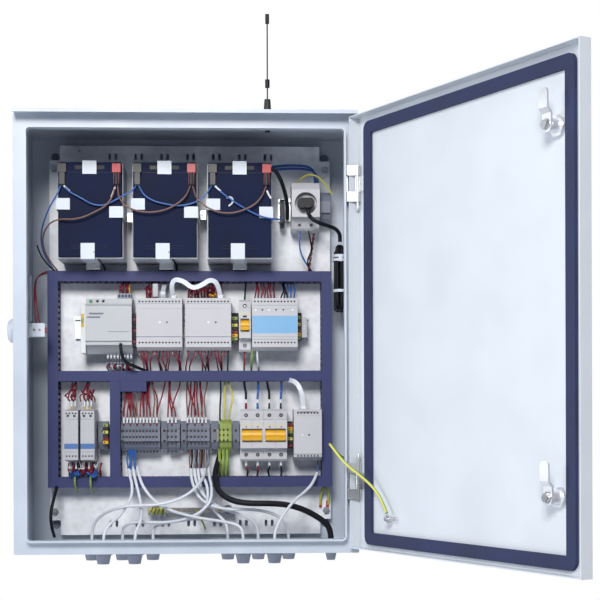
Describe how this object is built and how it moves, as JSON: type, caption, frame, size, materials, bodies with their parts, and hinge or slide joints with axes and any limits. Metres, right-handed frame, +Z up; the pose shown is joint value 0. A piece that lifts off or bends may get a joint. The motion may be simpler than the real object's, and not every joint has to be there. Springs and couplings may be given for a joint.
{
  "type": "wall control cabinet",
  "caption": "Wall-mounted steel control cabinet with a side-hinged door, rail-mounted breakers, modules and terminals, backup batteries, wiring ducts, bottom cable glands and an antenna",
  "frame": {"origin": "on the wall face, at the centre of the four wall bolt holes in the back of the cabinet", "axes": "+Z up, +X to the right when facing the cabinet, -Y out of the wall towards the user"},
  "size_m": [0.7492, 0.6683, 0.8275],
  "materials": {
    "body_paint": "light grey powder coat",
    "gasket_foam": "soft sealing foam",
    "hinge_zinc": "zinc plated",
    "pin_steel": "plated steel pin",
    "lock_zinc": "nickel plated die casting",
    "cam_steel": "zinc plated pressing",
    "bolt_steel": "zinc plated fastener",
    "plate_zinc": "galvanised sheet",
    "rail_zinc": "passivated rail",
    "duct_pvc": "slate grey PVC",
    "battery_case": "black ABS",
    "cradle_sheet": "light grey bracket",
    "clip_white": "white nylon",
    "boot_black": "black sleeve",
    "boot_red": "red sleeve",
    "module_grey": "light grey polycarbonate",
    "supply_grey": "grey plastic",
    "relay_grey": "grey polyamide",
    "toggle_yellow": "yellow lever",
    "earth_green": "green and yellow",
    "connector_black": "black plug connector",
    "bar_brass": "plated brass bar",
    "insulator_dark": "moulded insulator",
    "plug_black": "black moulding",
    "lead_black": "black cable sheath",
    "wire_blue": "blue insulation",
    "wire_brown": "brown insulation",
    "cable_white": "white cable sheath",
    "cable_grey": "grey cable sheath",
    "strap_earth": "green and yellow insulation",
    "gland_grey": "dark polyamide",
    "antenna_black": "black moulding",
    "whip_black": "black coated wire",
    "button_white": "light grey moulding",
    "button_cap": "grey mushroom cap"
  },
  "bodies": {
    "cabinet": {"antenna_base": "antenna_black", "antenna_whip": "whip_black", "battery_centre": "battery_case", "battery_clips": "clip_white", "battery_cradles": "cradle_sheet", "battery_left": "battery_case", "battery_right": "battery_case", "black_leads": "lead_black", "blue_links": "wire_blue", "breaker_left_body": "module_grey", "breaker_right_body": "module_grey", "brown_links": "wire_brown", "bus_connectors": "connector_black", "cable_glands": "gland_grey", "centre_ducts": "duct_pvc", "comms_module": "module_grey", "controllers": "module_grey", "cross_ducts": "duct_pvc", "din_rails": "rail_zinc", "duct_covers": "duct_pvc", "earth_bar": "bar_brass", "earth_bar_supports": "insulator_dark", "earth_strap": "strap_earth", "earth_terminals": "earth_green", "enclosure_shell": "body_paint", "end_clamps": "relay_grey", "hinge_frame_leaves": "hinge_zinc", "hinge_pins": "pin_steel", "mains_cable": "cable_grey", "mains_plug": "plug_black", "meter_module": "module_grey", "mounting_plate": "plate_zinc", "negative_boots": "boot_black", "plate_fixings": "bolt_steel", "positive_boots": "boot_red", "power_supply": "supply_grey", "relays": "relay_grey", "side_button_contact": "button_white", "side_button_housing": "button_white", "side_ducts": "duct_pvc", "signal_cables": "cable_white", "single_breaker_body": "module_grey", "socket_outlet": "module_grey", "terminal_blocks": "relay_grey", "wall_earth_stud": "bolt_steel"},
    "door": {"door_panel": "body_paint", "door_gasket": "gasket_foam", "lock_barrels": "lock_zinc", "hinge_door_leaves": "hinge_zinc", "door_earth_stud": "bolt_steel"},
    "upper_lock": {"upper_lock_spindle": "lock_zinc", "upper_lock_cam": "cam_steel", "upper_cam_bolt": "bolt_steel"},
    "lower_lock": {"lower_lock_spindle": "lock_zinc", "lower_lock_cam": "cam_steel", "lower_cam_bolt": "bolt_steel"},
    "single_toggle": {"single_breaker_toggle": "toggle_yellow"},
    "left_toggle": {"breaker_left_toggle": "toggle_yellow"},
    "right_toggle": {"breaker_right_toggle": "toggle_yellow"},
    "stop_button": {"side_button_cap": "button_cap"}
  },
  "joints": [
    {"name": "door_swing", "type": "hinge", "parent": "cabinet", "child": "door", "pos_m": [0.248, -0.2159, 0], "axis": [0, 0, 1], "range_deg": [-117, 2], "deforming": ["earth_strap"]},
    {"name": "upper_lock_turn", "type": "hinge", "parent": "door", "child": "upper_lock", "pos_m": [0.44658, -0.61752, 0.2195], "axis": [0.891, 0.454, 0], "range_deg": [0, 90]},
    {"name": "lower_lock_turn", "type": "hinge", "parent": "door", "child": "lower_lock", "pos_m": [0.44658, -0.61752, -0.2195], "axis": [0.891, 0.454, 0], "range_deg": [0, 90]},
    {"name": "single_toggle_throw", "type": "hinge", "parent": "cabinet", "child": "single_toggle", "pos_m": [0.085, -0.079, 0.0195], "axis": [-1, 0, 0], "range_deg": [0, 40]},
    {"name": "left_toggle_throw", "type": "hinge", "parent": "cabinet", "child": "left_toggle", "pos_m": [0.0954, -0.079, -0.149], "axis": [-1, 0, 0], "range_deg": [0, 40]},
    {"name": "right_toggle_throw", "type": "hinge", "parent": "cabinet", "child": "right_toggle", "pos_m": [0.1314, -0.079, -0.149], "axis": [-1, 0, 0], "range_deg": [0, 40]},
    {"name": "stop_button_press", "type": "slide", "parent": "cabinet", "child": "stop_button", "axis": [1, 0, 0], "range_m": [0, 0.004], "stiffness_N_per_m": 200}
  ]
}
